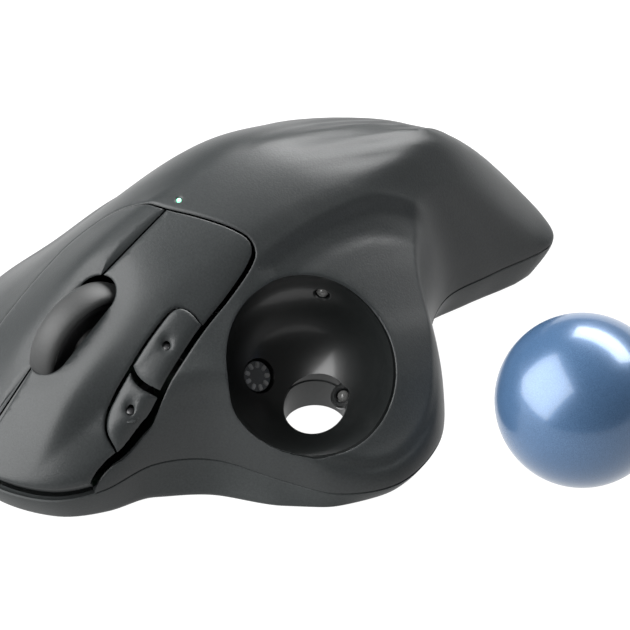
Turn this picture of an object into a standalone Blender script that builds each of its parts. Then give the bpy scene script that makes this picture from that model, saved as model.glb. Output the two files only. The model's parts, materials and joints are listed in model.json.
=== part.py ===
"""Thumb-operated trackball mouse. Blender 4.5, metres, +Z up, +Y forward, +X to the right.

The shells, keys and socket share one outer surface: a height over the plan, skin_height(), which
falls to the parting line at the plan outline. Lengths below are in millimetres until they reach Blender.
"""

import math

import bmesh
import bpy
import numpy as np
from mathutils import Matrix, Vector

MM = 0.001

# ---- driving dimensions, mm ----
BALL_R = 17.0            # thumb ball
SOCKET_R = 17.45         # inside of the cup
SOCKET_WALL = 1.9
FLARE_R = 20.2           # the shell's opening over the cup widens to this
FLARE_FROM = 3.0         # and starts this far from the ball's centre
FLARE_TO = 13.0
MOUTH_AXIS = Vector((-0.757, 0.244, 0.606)).normalized()
SOCKET_C = Vector((-25.5, 13.0, 22.3))
HOLE_C = (-24.0, 7.9)    # finger hole under the ball
HOLE_R = 6.4
WALL = 2.0               # shell thickness
FOOT_H = 0.8             # the pads lift the base this far
FLOOR_T = 1.6            # bottom shell's floor
GAP = 0.4                # line between the key plates and the shell
SIDE_GAP = 0.46          # round the two small keys
KEY_LIFT = 1.3           # room under the front lip of the keys
PART_GAP = 0.3           # between the two shells
TUCK = 4.0               # how far the base draws in under the parting line
CREASE = 1.5             # width of the edge between palm and thumb scoop
WHEEL_C = Vector((9.3, 37.6, 25.2))
WHEEL_R = 12.5
WHEEL_W = 6.2
WHEEL_YAW = math.radians(-8.0)
CELL_R = 7.25
CELL_L = 50.5
CELL_C = Vector((13.0, -15.5, 11.0))
BALL_REST = Vector((-69.6, -18.2, BALL_R))
CENTRE = (4.0, 0.0)      # the plan's polar centre
COVER_DROP = 2.3         # height between the cover's outer and inner surface
LAMP_SPOT = (7.2, 11.2)
SLOT_C = Vector((9.7, 40.3))    # wheel slot: middle, half of the straight part, end radius
SLOT_HALF = 5.6
SLOT_R = 4.1
KEY_HINGE = (15.0, 33.0)        # y and z of the main keys' bending line
SIDE_HINGE = (-5.6, 40.1, 30.0)
DOOR_HALF = (8.5, 27.0)         # opening of the battery door
POWER_SPOT = Vector((23.0, 34.0))
PAIRING_SPOT = (4.0, 34.0)
POST_R = 2.8                    # screw posts under the cover

# plan of the top shell's lower edge: x, y and height of the parting line
OUTLINE = (
    (45.6, 6, 8), (46, 23, 9), (43, 41.4, 9), (34.8, 56.5, 8), (24, 63.7, 7.5), (10, 66, 7.5), (-2, 62, 7.5),
    (-9, 54, 8.5), (-13, 43, 10), (-20, 33.5, 8.5), (-32, 27.5, 6), (-42, 22, 4.5), (-49, 12, 4.5),
    (-48, -1, 5), (-41, -11, 6), (-30, -20, 7), (-25, -31, 8), (-27.5, -43, 8), (-31, -56.6, 8),
    (-25, -62, 8), (-12.8, -62.6, 8), (0, -63.1, 8), (15.7, -57.1, 8), (29.8, -45.6, 8), (39.9, -29.5, 8),
    (44.6, -11.5, 8),
)
# the crown of the palm and keys along y, and how it falls to the right and to the left
CROWN_AT = (-70, -45, -25, -8, 12, 30, 42, 52, 60, 68)
CROWN_IS = (26.5, 40.1, 44.7, 47.8, 45.3, 39, 32, 24.5, 17.5, 10)
RIGHT_AT = (-70, -30, -18, 10, 27, 50, 70)
RIGHT_IS = (0.0183, 0.0158, 0.0223, 0.0243, 0.0166, 0.0122, 0.0109)
LEFT_AT = (-70, -30, -18, 0, 12, 27, 50, 70)
LEFT_IS = (0.02, 0.024, 0.028, 0.025, 0.022, 0.014, 0.012, 0.012)
REACH_AT = (-70, -41, -31, -19, 0, 12, 27, 50, 70)
REACH_IS = (30, 24, 23, 17, 17.5, 19, 21, 21, 22)
# height of the thumb scoop by the distance down its slope
SCOOP_AT = (-45, -30, -22, -16, -10, -5, 0, 5, 10, 14, 18, 24)
SCOOP_IS = (70, 48, 40.5, 37, 33, 29, 24.5, 19.5, 14.2, 10.5, 7.5, 5)
SCOOP_WAY = (-0.952, 0.307)     # plan direction in which the scoop falls
# how much of the radius the rounded edge takes, by compass angle from +X in degrees
EDGE_AT = (-180, -150, -140, -130, -122, -110, -100, 45, 60, 75, 90, 140, 160, 180)
EDGE_IS = (0.07, 0.07, 0.1, 0.16, 0.36, 0.65, 1, 1, 0.9, 0.4, 0.15, 0.1, 0.07, 0.07)
# plan outlines of the keys
KEYS_REAR = ((27.9, 50), (27.5, 42), (26.8, 36), (26, 30), (25.1, 24.5), (22.6, 19.6), (19, 16.4), (13.8, 15),
             (8, 14.2), (1.4, 12), (-4.5, 9.9), (-8, 9), (-10, 9.6), (-11, 11.5), (-11.6, 16), (-11.9, 27))
KEYS_FRONT = ((-12, 40), (-11.2, 44.5), (-10.2, 48.6), (-8.6, 52.6), (-8.6, 72), (27.9, 72))
SEAM_X = 7.5
SEAM_SLOPE = 0.14
SEAM_Y = 14.4
SIDE_KEYS = ((-5.1, 30), (-4.9, 34), (-4.6, 40.1), (-4.3, 44.5), (-4.6, 47.5), (-6.5, 49.6), (-14, 49.6),
             (-14, 27.4), (-9, 26.3), (-6.5, 27.5))
SIDE_SPLIT_Y = 40.1
SHARES = (0.14, 0.28, 0.42, 0.54, 0.65, 0.75, 0.83, 0.9, 0.95, 0.985, 1.0)    # rings of the lofted skins

FINISHES = {
    "graphite": ((0.05, 0.056, 0.056), 0.5, 0.0),
    "graphite_base": ((0.06, 0.066, 0.066), 0.55, 0.0),
    "black_gloss": ((0.008, 0.009, 0.009), 0.15, 0.0),
    "wheel_rubber": ((0.02, 0.021, 0.021), 0.6, 0.0),
    "ball_blue": ((0.03, 0.08, 0.2), 0.2, 0.3),
    "ceramic": ((0.8, 0.8, 0.78), 0.2, 0.0),
    "clear": ((0.6, 0.62, 0.62), 0.05, 0.0),
    "lamp": ((0.5, 0.9, 0.7), 0.3, 0.0),
    "black_plastic": ((0.012, 0.012, 0.013), 0.5, 0.0),
    "board_green": ((0.01, 0.12, 0.05), 0.5, 0.0),
    "steel": ((0.6, 0.6, 0.6), 0.3, 1.0),
    "cell_skin": ((0.03, 0.03, 0.035), 0.35, 0.3),
    "pad": ((0.25, 0.26, 0.26), 0.45, 0.0),
    "white_plastic": ((0.7, 0.7, 0.68), 0.5, 0.0),
    "ribbon": ((0.5, 0.3, 0.08), 0.4, 0.0),
}


# ---- the shared surface ----
def hermite(v, xs, ys):
    """Smooth curve through the points (xs, ys), read at v."""
    xs, ys = np.asarray(xs, float), np.asarray(ys, float)
    slope = np.gradient(ys, xs)
    v = np.clip(v, xs[0], xs[-1])
    i = np.clip(np.searchsorted(xs, v, side="right") - 1, 0, len(xs) - 2)
    h = xs[i + 1] - xs[i]
    t = (v - xs[i]) / h
    a = (2 * t**3 - 3 * t**2 + 1) * ys[i] + (t**3 - 2 * t**2 + t) * h * slope[i]
    return a + (-2 * t**3 + 3 * t**2) * ys[i + 1] + (t**3 - t**2) * h * slope[i + 1]


def outline_tables(steps=24):
    """Radius and parting height of the outline, as tables over the angle round CENTRE."""
    pts = np.asarray(OUTLINE, float)
    out = []
    for i in range(len(pts)):
        a, b, c, d = (pts[(i + k) % len(pts)] for k in (-1, 0, 1, 2))
        t = np.linspace(0, 1, steps, endpoint=False)[:, None]
        bend = (2 * a - 5 * b + 4 * c - d) * t**2 + (3 * b - a - 3 * c + d) * t**3
        out.append(0.5 * (2 * b + (c - a) * t + bend))
    curve = np.vstack(out)
    dx, dy = curve[:, 0] - CENTRE[0], curve[:, 1] - CENTRE[1]
    angle = np.arctan2(dy, dx)
    order = np.argsort(angle)
    return angle[order], np.hypot(dx, dy)[order], curve[order, 2]


ANGLES, RADII, PARTING = outline_tables()


def round_plan(angle, table):
    return np.interp(angle, ANGLES, table, period=2 * math.pi)


def soft_min(a, b, width):
    """The lower of a and b, rounded where they cross."""
    mix = np.clip(0.5 + 0.5 * (b - a) / width, 0, 1)
    return b * (1 - mix) + a * mix - width * mix * (1 - mix)


def top_height(x, y):
    """The palm and key surface and the thumb scoop, before the outer edge is rounded off."""
    crown = hermite(y, CROWN_AT, CROWN_IS)
    ridge = hermite(y, (-70, -45, -20, 0, 30, 70), (-14, -8, 1, 6, 8, 10))
    right = hermite(y, RIGHT_AT, RIGHT_IS)
    flank = hermite(y, (-70, -40, 0, 30, 60), (0.0005, -0.0036, -0.0089, 0.0041, -0.0008))
    left = hermite(y, LEFT_AT, LEFT_IS)
    reach = hermite(y, REACH_AT, REACH_IS)
    off = x - ridge
    away = np.clip(-off, 0, None)
    near = np.minimum(away, reach)
    palm = crown - flank * np.clip(off - 15, 0, None)**2
    palm -= np.where(off > 0, right * off**2, left * near**2 + 0.3 * (away - near))
    mouth = SOCKET_C + MOUTH_AXIS * 5.0
    down = SCOOP_WAY[0] * (x - mouth.x) + SCOOP_WAY[1] * (y - mouth.y)
    along = SCOOP_WAY[1] * (x - mouth.x) - SCOOP_WAY[0] * (y - mouth.y)
    slope = hermite(down, SCOOP_AT, SCOOP_IS)
    fade = np.clip((down + 26) / 12, 0, 1)
    forward = np.clip(soft_min(along - 14, 27, 8), 0, None)
    scoop = slope - 0.008 * np.clip(-6 - along, 0, None)**2 - 0.022 * fade * forward**2
    crease = CREASE + 5 * np.clip((y - 12) / 20, 0, 1)
    return soft_min(palm, scoop, crease)


def skin(angle, r, lift=0.0):
    """A point of the outer surface at that compass angle and share r of the radius."""
    radius = round_plan(angle, RADII)
    base = round_plan(angle, PARTING) + lift
    x = CENTRE[0] + np.cos(angle) * radius * r
    y = CENTRE[1] + np.sin(angle) * radius * r
    edge = np.clip((1 - r) / np.interp(np.degrees(angle), EDGE_AT, EDGE_IS), 0, 1)
    rise = np.clip(1 - (1 - edge)**2.1, 0, 1)**0.55
    height = -soft_min(base - top_height(x, y), -2.5, 5)
    return np.stack([x, y, base + rise * height], -1)


def skin_height(x, y):
    dx, dy = x - CENTRE[0], y - CENTRE[1]
    angle = math.atan2(dy, dx)
    return float(skin(angle, math.hypot(dx, dy) / round_plan(angle, RADII))[2])


# ---- helpers ----
def collection(name):
    c = bpy.data.collections.new(name)
    bpy.context.scene.collection.children.link(c)
    return c


def material(name):
    colour, rough, metal = FINISHES[name]
    m = bpy.data.materials.get(name) or bpy.data.materials.new(name)
    m.use_nodes = True
    node = m.node_tree.nodes["Principled BSDF"]
    node.inputs["Base Color"].default_value = (*colour, 1)
    node.inputs["Roughness"].default_value = rough
    node.inputs["Metallic"].default_value = metal
    return m


def place(mesh, name, finish, origin=(0, 0, 0), cutter=False):
    """Links a mesh given in millimetres as an object in metres, with its origin at origin."""
    home = Vector(origin) * MM
    mesh.transform(Matrix.Translation(-home) @ Matrix.Scale(MM, 4))
    obj = bpy.data.objects.new(name, mesh)
    obj.location = home
    (cutters if cutter else parts).objects.link(obj)
    if cutter:
        obj.hide_render = True
        obj.display_type = "WIRE"
    else:
        mesh.materials.append(material(finish))
        mesh.shade_smooth()
        mesh.set_sharp_from_angle(angle=math.radians(35))
    obj.parent = root
    return obj


def tool(mesh, name):
    """A mesh as a cutter, which the build leaves out."""
    return place(mesh, name, None, cutter=True)


def from_bmesh(bm, name):
    bmesh.ops.recalc_face_normals(bm, faces=bm.faces)
    mesh = bpy.data.meshes.new(name)
    bm.to_mesh(mesh)
    bm.free()
    return mesh


def ring_mesh(rings, name):
    """Closed solid through rings of points, from a first to a last single point."""
    bm = bmesh.new()
    rows = [[bm.verts.new(p) for p in ring] for ring in rings]
    for low, high in zip(rows, rows[1:]):
        n = max(len(low), len(high))
        for i in range(n):
            j = (i + 1) % n
            if len(low) == 1:
                bm.faces.new((low[0], high[i], high[j]))
            elif len(high) == 1:
                bm.faces.new((low[i], high[0], low[j]))
            else:
                bm.faces.new((low[i], high[i], high[j], low[j]))
    return from_bmesh(bm, name)


def prism_mesh(outline, low, high, name):
    """Upright solid over a plan outline."""
    bm = bmesh.new()
    face = bm.faces.new([bm.verts.new((x, y, low)) for x, y in outline])
    top = bmesh.ops.extrude_face_region(bm, geom=[face])
    for v in top["geom"]:
        if isinstance(v, bmesh.types.BMVert):
            v.co.z = high
    return from_bmesh(bm, name)


def box_mesh(size, centre, name, turn=None, bevel=0.0):
    bm = bmesh.new()
    bmesh.ops.create_cube(bm, size=1.0)
    bmesh.ops.scale(bm, vec=size, verts=bm.verts)
    if bevel:
        bmesh.ops.bevel(bm, geom=bm.edges[:], offset=bevel, segments=1, affect="EDGES")
    bmesh.ops.transform(bm, matrix=Matrix.Translation(centre) @ (turn or Matrix.Identity(4)), verts=bm.verts)
    return from_bmesh(bm, name)


def facing(direction):
    """Rotation that takes +Z to direction."""
    return Vector((0, 0, 1)).rotation_difference(Vector(direction)).to_matrix().to_4x4()


def rod_mesh(r1, r2, start, end, name, sides=32):
    """Cylinder or cone between two points."""
    start, end = Vector(start), Vector(end)
    bm = bmesh.new()
    length = (end - start).length
    bmesh.ops.create_cone(bm, cap_ends=True, segments=sides, radius1=r1, radius2=r2, depth=length)
    move = Matrix.Translation((start + end) / 2) @ facing(end - start)
    bmesh.ops.transform(bm, matrix=move, verts=bm.verts)
    return from_bmesh(bm, name)


def ball_mesh(r, centre, name, rings=16, sides=28):
    bm = bmesh.new()
    bmesh.ops.create_uvsphere(bm, u_segments=sides, v_segments=rings, radius=r)
    bmesh.ops.translate(bm, vec=centre, verts=bm.verts)
    return from_bmesh(bm, name)


def turned_mesh(profile, centre, axis, name, sides=40):
    """Closed profile of (radius, height) pairs turned round axis through centre."""
    bm = bmesh.new()
    rows = []
    for k in range(sides):
        a = 2 * math.pi * k / sides
        rows.append([bm.verts.new((r * math.cos(a), r * math.sin(a), h)) for r, h in profile])
    for k in range(sides):
        here, there = rows[k], rows[(k + 1) % sides]
        for i in range(len(profile)):
            j = (i + 1) % len(profile)
            bm.faces.new((here[i], here[j], there[j], there[i]))
    bmesh.ops.transform(bm, matrix=Matrix.Translation(centre) @ facing(axis), verts=bm.verts)
    return from_bmesh(bm, name)


def boolean(obj, cutter, operation="DIFFERENCE", solver="MANIFOLD"):
    """The lofted skins need the MANIFOLD solver: EXACT empties a plate that the seam cuts."""
    m = obj.modifiers.new(operation.lower(), "BOOLEAN")
    m.operation = operation
    m.object = cutter
    m.solver = solver


def offset(outline, d):
    """The outline moved inwards by d, for a counter-clockwise outline."""
    pts = np.asarray(outline, float)
    before, after = np.roll(pts, 1, 0), np.roll(pts, -1, 0)

    def normal(v):
        v = v / np.linalg.norm(v, axis=1)[:, None]
        return np.stack([-v[:, 1], v[:, 0]], -1)

    n1, n2 = normal(pts - before), normal(after - pts)
    n = n1 + n2
    n /= (1 + (n1 * n2).sum(1))[:, None]
    return [tuple(p) for p in pts + d * n]


def clip(outline, point, normal):
    """The part of a plan outline on the side of the line that normal points to."""
    kept = []
    for i in range(len(outline)):
        a, b = Vector(outline[i]), Vector(outline[(i + 1) % len(outline)])
        da, db = (a - Vector(point)).dot(Vector(normal)), (b - Vector(point)).dot(Vector(normal))
        if da >= 0:
            kept.append(tuple(a))
        if da * db < 0:
            kept.append(tuple(a.lerp(b, da / (da - db))))
    return kept


def cutter_prism(outline, name, low=-5.0, high=70.0):
    return tool(prism_mesh(outline, low, high, name), name)


def cutter_rod(r, start, end, name, sides=48):
    return tool(rod_mesh(r, r, start, end, name, sides), name)


# ---- the shells ----
def cover_rings(lift=0.0, sides=80):
    """Rings of a closed skin of WALL thickness that ends on the parting line."""
    angle = np.linspace(-math.pi, math.pi, sides, endpoint=False)
    outer = [skin(angle, np.full(sides, s), lift) for s in SHARES]
    inner = []
    radius = round_plan(angle, RADII)
    for s, ring in zip(SHARES, outer):
        base = outer[-1][:, 2]
        x = CENTRE[0] + np.cos(angle) * (radius - WALL) * s
        y = CENTRE[1] + np.sin(angle) * (radius - WALL) * s
        inner.append(np.stack([x, y, np.maximum(ring[:, 2] - COVER_DROP, base)], -1))
    middle = skin(0.0, 0.0, lift)
    rings = [[middle], *outer, *inner[::-1], [middle - (0, 0, COVER_DROP)]]
    return rings


def above_cavity(gap, sides=48):
    """Everything above the cover's inner surface, lowered by gap: what lies inside is cut with it."""
    angle = np.linspace(-math.pi, math.pi, sides, endpoint=False)
    radius = round_plan(angle, RADII) - WALL - gap
    drop = COVER_DROP + gap
    rings = [[skin(0.0, 0.0) - (0, 0, drop)]]
    for share in SHARES:
        z = skin(angle, np.full(sides, share))[:, 2] - drop
        rings.append(np.stack([CENTRE[0] + np.cos(angle) * radius * share,
                               CENTRE[1] + np.sin(angle) * radius * share, z], -1))
    top = rings[-1] + np.stack([np.cos(angle) * 20, np.sin(angle) * 20, 0 * angle], -1)
    high = top.copy()
    high[:, 2] = 90
    return [*rings, top, high, [(*CENTRE, 90)]]


def base_rings(sides=80):
    angle = np.linspace(-math.pi, math.pi, sides, endpoint=False)
    radius, edge = round_plan(angle, RADII), round_plan(angle, PARTING) - PART_GAP

    def ring(inset, z):
        r = radius - inset
        return np.stack([CENTRE[0] + np.cos(angle) * r, CENTRE[1] + np.sin(angle) * r, z + 0 * angle], -1)

    outer = [ring(TUCK * (1 - f)**1.4, FOOT_H + (edge - FOOT_H) * f) for f in (0, 0.2, 0.5, 0.75, 1)]
    floor = FOOT_H + FLOOR_T
    inner = [ring(TUCK * (1 - f)**1.4 + WALL, floor + (edge - floor) * f) for f in (1, 0.6, 0.25, 0)]
    return [[(*CENTRE, FOOT_H)], *outer, *inner, [(*CENTRE, floor)]]


def make_shells():
    top = place(ring_mesh(cover_rings(), "top_shell"), "top_shell", "graphite")
    bottom = place(ring_mesh(base_rings(), "bottom_shell"), "bottom_shell", "graphite_base")
    opening = cutter_prism([*KEYS_REAR, *KEYS_FRONT][::-1], "cut_key_opening")
    flare = rod_mesh(SOCKET_R, FLARE_R, SOCKET_C + MOUTH_AXIS * FLARE_FROM, SOCKET_C + MOUTH_AXIS * FLARE_TO,
                     "cut_flare", 48)
    boolean(top, opening)
    boolean(top, cutter_rod(SOCKET_R, SOCKET_C, SOCKET_C + MOUTH_AXIS * 40, "cut_mouth"))
    boolean(top, tool(flare, "cut_flare"))
    boolean(top, tool(ball_mesh(SOCKET_R, SOCKET_C, "cut_ball_room", 18, 36), "cut_ball_room"))
    boolean(top, cutter_rod(0.8, (*LAMP_SPOT, 40), (*LAMP_SPOT, 50), "cut_lamp", 16))
    cup_room = ball_mesh(SOCKET_R + SOCKET_WALL + PART_GAP, SOCKET_C, "cut_cup_room")
    boolean(bottom, tool(cup_room, "cut_cup_room"))
    boolean(bottom, cutter_rod(HOLE_R + 0.6, (*HOLE_C, -2), (*HOLE_C, 12), "cut_finger_hole"))
    return top, bottom


def seam_x(y):
    return SEAM_X + SEAM_SLOPE * (y - SEAM_Y)


def make_keys():
    """Left and right key plates, and the two small keys on the left key's outer edge."""
    whole = [*KEYS_REAR, *KEYS_FRONT][::-1]
    inset = offset(whole, GAP)
    along = Vector((math.sin(-WHEEL_YAW), math.cos(WHEEL_YAW)))
    across = Vector((along.y, -along.x))
    slot = []
    for end in (1, -1):
        for k in range(25):
            a = math.pi * k / 24
            arm = across * math.cos(a) + along * math.sin(a)
            slot.append(SLOT_C + end * (along * SLOT_HALF + arm * SLOT_R))
    slot_cut = cutter_prism([tuple(p) for p in slot], "cut_wheel_slot")
    axle = Vector((*across, 0)) * (WHEEL_W / 2 + 0.6)
    wheel_room = cutter_rod(WHEEL_R + 0.8, WHEEL_C - axle, WHEEL_C + axle, "cut_wheel_swing")
    notch = cutter_prism(SIDE_KEYS, "cut_side_keys")
    to_right = Vector((1, -SEAM_SLOPE)).normalized()
    seam = Vector((SEAM_X, SEAM_Y))
    plates = {}
    for name, side in (("left_button", -to_right), ("right_button", to_right)):
        origin = (seam_x(14), *KEY_HINGE)
        plate = place(ring_mesh(cover_rings(KEY_LIFT), name), name, "graphite", origin=origin)
        outline = clip(inset, seam + side * GAP / 2, side)
        boolean(plate, cutter_prism(outline, "cut_plate_" + name), "INTERSECT")
        boolean(plate, slot_cut)
        boolean(plate, wheel_room)
        plates[name] = plate
    boolean(plates["left_button"], notch)
    for name, side in (("forward_button", 1), ("back_button", -1)):
        key = place(ring_mesh(cover_rings(KEY_LIFT), name), name, "graphite", origin=SIDE_HINGE)
        boolean(key, cutter_prism(inset, "cut_rim_" + name), "INTERSECT")
        outline = clip(offset(SIDE_KEYS, SIDE_GAP), (0, SIDE_SPLIT_Y + 0.5 * side), (0, side))
        boolean(key, cutter_prism(outline, "cut_key_" + name), "INTERSECT")
    return plates


# ---- ball, cup and sensor ----
# directions from the ball's centre to its three beads and to the sensor window
BEADS = {
    "bearing_rear": (8.1, -15.0, 2.9),
    "bearing_lower": (-1.46, -9.7, -14.3),
    "bearing_front": (11.65, 12.0, -5.1),
}
LENS_WAY = Vector((12.8, -1.3, -11.8)).normalized()
BEAD_R = 1.25
BEAD_GAP = 0.06


def at_cup(way, distance):
    return SOCKET_C + Vector(way).normalized() * distance


def make_cup():
    outer = SOCKET_R + SOCKET_WALL
    cup = place(ball_mesh(outer, SOCKET_C, "ball_socket", 18, 36), "ball_socket", "black_gloss")
    neck = rod_mesh(outer, outer, SOCKET_C, SOCKET_C + MOUTH_AXIS * 20, "cut_cup_neck", 36)
    boolean(cup, tool(neck, "cut_cup_neck"), "UNION")
    boolean(cup, tool(ball_mesh(SOCKET_R, SOCKET_C, "cut_cup", 18, 36), "cut_cup"))
    boolean(cup, cutter_rod(SOCKET_R, SOCKET_C, SOCKET_C + MOUTH_AXIS * 30, "cut_cup_mouth"))
    # the cup stops under the shell
    boolean(cup, tool(ring_mesh(above_cavity(0.4), "cut_cup_top"), "cut_cup_top"))
    boolean(cup, cutter_rod(HOLE_R, (*HOLE_C, -2), (*HOLE_C, 14), "cut_cup_hole"))
    for name, way in BEADS.items():
        boolean(cup, cutter_rod(BEAD_R + 0.3, at_cup(way, 15), at_cup(way, 22), "cut_" + name, 16))
        centre = at_cup(way, BALL_R + BEAD_GAP + BEAD_R)
        place(ball_mesh(BEAD_R, centre, name, 8, 12), name, "ceramic", origin=centre)
    boolean(cup, cutter_rod(3.3, at_cup(LENS_WAY, 15), at_cup(LENS_WAY, 22), "cut_lens_room", 24))
    lens = rod_mesh(3.0, 3.0, at_cup(LENS_WAY, 17.9), at_cup(LENS_WAY, 19.3), "sensor_lens", 24)
    place(lens, "sensor_lens", "clear", origin=at_cup(LENS_WAY, 18.6))
    turn = facing(LENS_WAY)
    chip = box_mesh((6, 6, 1.6), at_cup(LENS_WAY, 20.6), "sensor_chip", turn)
    place(chip, "sensor_chip", "black_plastic")
    board = box_mesh((8.6, 11, 1.2), at_cup(LENS_WAY, 22.4), "sensor_board", turn)
    place(board, "sensor_board", "board_green")
    ribbon = box_mesh((4, 3.4, 0.3), (-4.6, 20.0, 7.2), "ribbon_cable")
    place(ribbon, "ribbon_cable", "ribbon")
    ball = ball_mesh(BALL_R, BALL_REST, "trackball", 20, 36)
    place(ball, "trackball", "ball_blue", origin=BALL_REST)


# ---- scroll wheel ----
def make_wheel():
    axis = Vector((math.cos(WHEEL_YAW), math.sin(WHEEL_YAW), 0))
    half = WHEEL_W / 2
    rim = WHEEL_R - 2.2
    crown = [(rim, half - 0.2), (WHEEL_R - 1.6, half), (WHEEL_R - 0.6, half * 0.72), (WHEEL_R, half * 0.25)]
    tyre = crown + [(r, -h) for r, h in crown[::-1]]
    place(turned_mesh(tyre, WHEEL_C, axis, "wheel_tyre"), "wheel_tyre", "wheel_rubber", origin=WHEEL_C)
    hub = [(1.3, 2.6), (rim - 0.3, 2.6), (rim - 0.3, -2.6), (1.3, -2.6)]
    place(turned_mesh(hub, WHEEL_C, axis, "wheel_hub", 32), "wheel_hub", "black_plastic", origin=WHEEL_C)
    axle = rod_mesh(1.0, 1.0, WHEEL_C - axis * 6.4, WHEEL_C + axis * 6.4, "wheel_axle", 16)
    place(axle, "wheel_axle", "steel", origin=WHEEL_C)
    yaw = Matrix.Rotation(WHEEL_YAW, 4, "Z")
    across = Vector((axis.x, axis.y, 0))
    block = box_mesh((11.4, 8, 14.7), WHEEL_C + Vector((0, -0.5, -7.15)), "wheel_carrier", yaw)
    carrier = place(block, "wheel_carrier", "black_plastic", origin=WHEEL_C)
    reach = across * 3.7
    boolean(carrier, cutter_rod(WHEEL_R + 0.7, WHEEL_C - reach, WHEEL_C + reach, "cut_wheel_room", 48))
    boolean(carrier, cutter_rod(1.3, WHEEL_C - across * 9, WHEEL_C + across * 9, "cut_axle_room", 16))
    encoder = box_mesh((3.2, 9, 14), WHEEL_C + across * 8.9 + Vector((0, 0, -12.0)), "wheel_encoder", yaw)
    place(encoder, "wheel_encoder", "white_plastic")


# ---- boards, switches, cell ----
BOARD_TOP = 6.2
LEFT_SWITCH = Vector((-1.0, 47.0))
RIGHT_SWITCH = Vector((21.0, 46.0))


def make_inside(plates):
    board = ((-7, 19), (32.5, 19), (32.5, 44), (26, 56), (-1, 56), (-7, 48))
    place(prism_mesh(board, BOARD_TOP - 1.2, BOARD_TOP, "main_board"), "main_board", "board_green")
    pairs = (("left_switch", LEFT_SWITCH, "left_button"), ("right_switch", RIGHT_SWITCH, "right_button"))
    for name, spot, plate in pairs:
        body = box_mesh((5.8, 9.6, 5.4), (spot.x, spot.y, BOARD_TOP + 3.0), name)
        place(body, name, "black_plastic")
        foot = BOARD_TOP + 5.7 + 0.9
        head = skin_height(spot.x, spot.y) - WALL
        boss = cutter_rod(1.5, (spot.x, spot.y, foot), (spot.x, spot.y, head), "cut_boss_" + name, 16)
        boolean(plates[plate], boss, "UNION")
    middle = box_mesh((6, 6, 3.2), (WHEEL_C.x, WHEEL_C.y, BOARD_TOP + 1.9), "middle_switch")
    place(middle, "middle_switch", "black_plastic")
    place(box_mesh((1.2, 13, 7), (-1.6, SIDE_SPLIT_Y - 2.5, 16.0), "side_board"), "side_board", "board_green")
    for name, y in (("back_switch", SIDE_SPLIT_Y - 5.5), ("forward_switch", SIDE_SPLIT_Y + 2.5)):
        place(box_mesh((1.6, 3.4, 3.4), (-3.4, y, 17.0), name), name, "black_plastic")
    lamp = Vector((*LAMP_SPOT, skin_height(*LAMP_SPOT)))
    pipe = rod_mesh(0.5, 0.5, lamp - Vector((0, 0, 3.2)), lamp, "status_lens", 16)
    place(pipe, "status_lens", "lamp", origin=lamp)
    ends = Vector((0, CELL_L / 2, 0))
    can = rod_mesh(CELL_R, CELL_R, CELL_C - ends, CELL_C + ends, "battery_cell", 32)
    cell = place(can, "battery_cell", "cell_skin", origin=CELL_C)
    tip, bite = CELL_C + ends, Vector((0, 1, 0))
    boolean(cell, cutter_rod(2.75, tip - bite, tip + bite, "cut_cell_nose", 16), "UNION")
    for name, y in (("contact_front", CELL_L / 2 + 1.6), ("contact_rear", -CELL_L / 2 - 0.6)):
        place(box_mesh((11, 0.5, 10), CELL_C + Vector((0, y, -0.5)), name), name, "steel")
    receiver = box_mesh((14.4, 18.7, 6), (30.6, -4, 5.9), "usb_receiver", bevel=0.8)
    place(receiver, "usb_receiver", "black_plastic")


def make_underside(top, bottom):
    half_x, half_y = DOOR_HALF
    door = (CELL_C.x - half_x, CELL_C.x + half_x, CELL_C.y - half_y, CELL_C.y + half_y)
    base, floor = FOOT_H, FOOT_H + FLOOR_T

    def rectangle(x0, x1, y0, y1):
        return ((x0, y0), (x1, y0), (x1, y1), (x0, y1))

    boolean(bottom, cutter_prism(rectangle(*door), "cut_door", -1, 3.2))
    lid = (door[0] + PART_GAP, door[1] - PART_GAP, door[2] + PART_GAP, door[3] - PART_GAP)
    panel = prism_mesh(rectangle(*lid), base, floor, "battery_door")
    place(panel, "battery_door", "graphite_base", origin=(CELL_C.x, CELL_C.y, base))
    x, y = POWER_SPOT
    boolean(bottom, cutter_prism(rectangle(x - 2.2, x + 2.2, y - 4.3, y + 4.3), "cut_power", -1, 5))
    knob = box_mesh((3.6, 4.0, 3.2), (x, y - 1.8, 2.3), "power_switch", bevel=0.3)
    place(knob, "power_switch", "black_plastic", origin=(x, y - 1.8, 2.3))
    foot = (*PAIRING_SPOT, 0.9)
    boolean(bottom, cutter_rod(2.8, (*PAIRING_SPOT, -1), (*PAIRING_SPOT, 4), "cut_connect", 24))
    button = rod_mesh(2.4, 2.4, foot, (*PAIRING_SPOT, 3.6), "connect_button", 24)
    place(button, "connect_button", "black_plastic", origin=foot)
    pads = {
        "foot_front": (0, 21, 53.5, 58.5),
        "foot_left": (-43, -36, 2, 17),
        "foot_rear": (-19, 3, -57.5, -52.5),
        "foot_right": (35.5, 40.5, -6, 12),
        "foot_notch": (-20, -11, -34, -26),
    }
    for name, spread in pads.items():
        place(prism_mesh(rectangle(*spread), 0, FOOT_H - PART_GAP, name), name, "pad")
    screws = {"screw_front": (37, 28), "screw_rear": (-12, -45), "screw_right": (33, -27)}
    for name, spot in screws.items():
        make_screw(name, spot, top, bottom)


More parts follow.
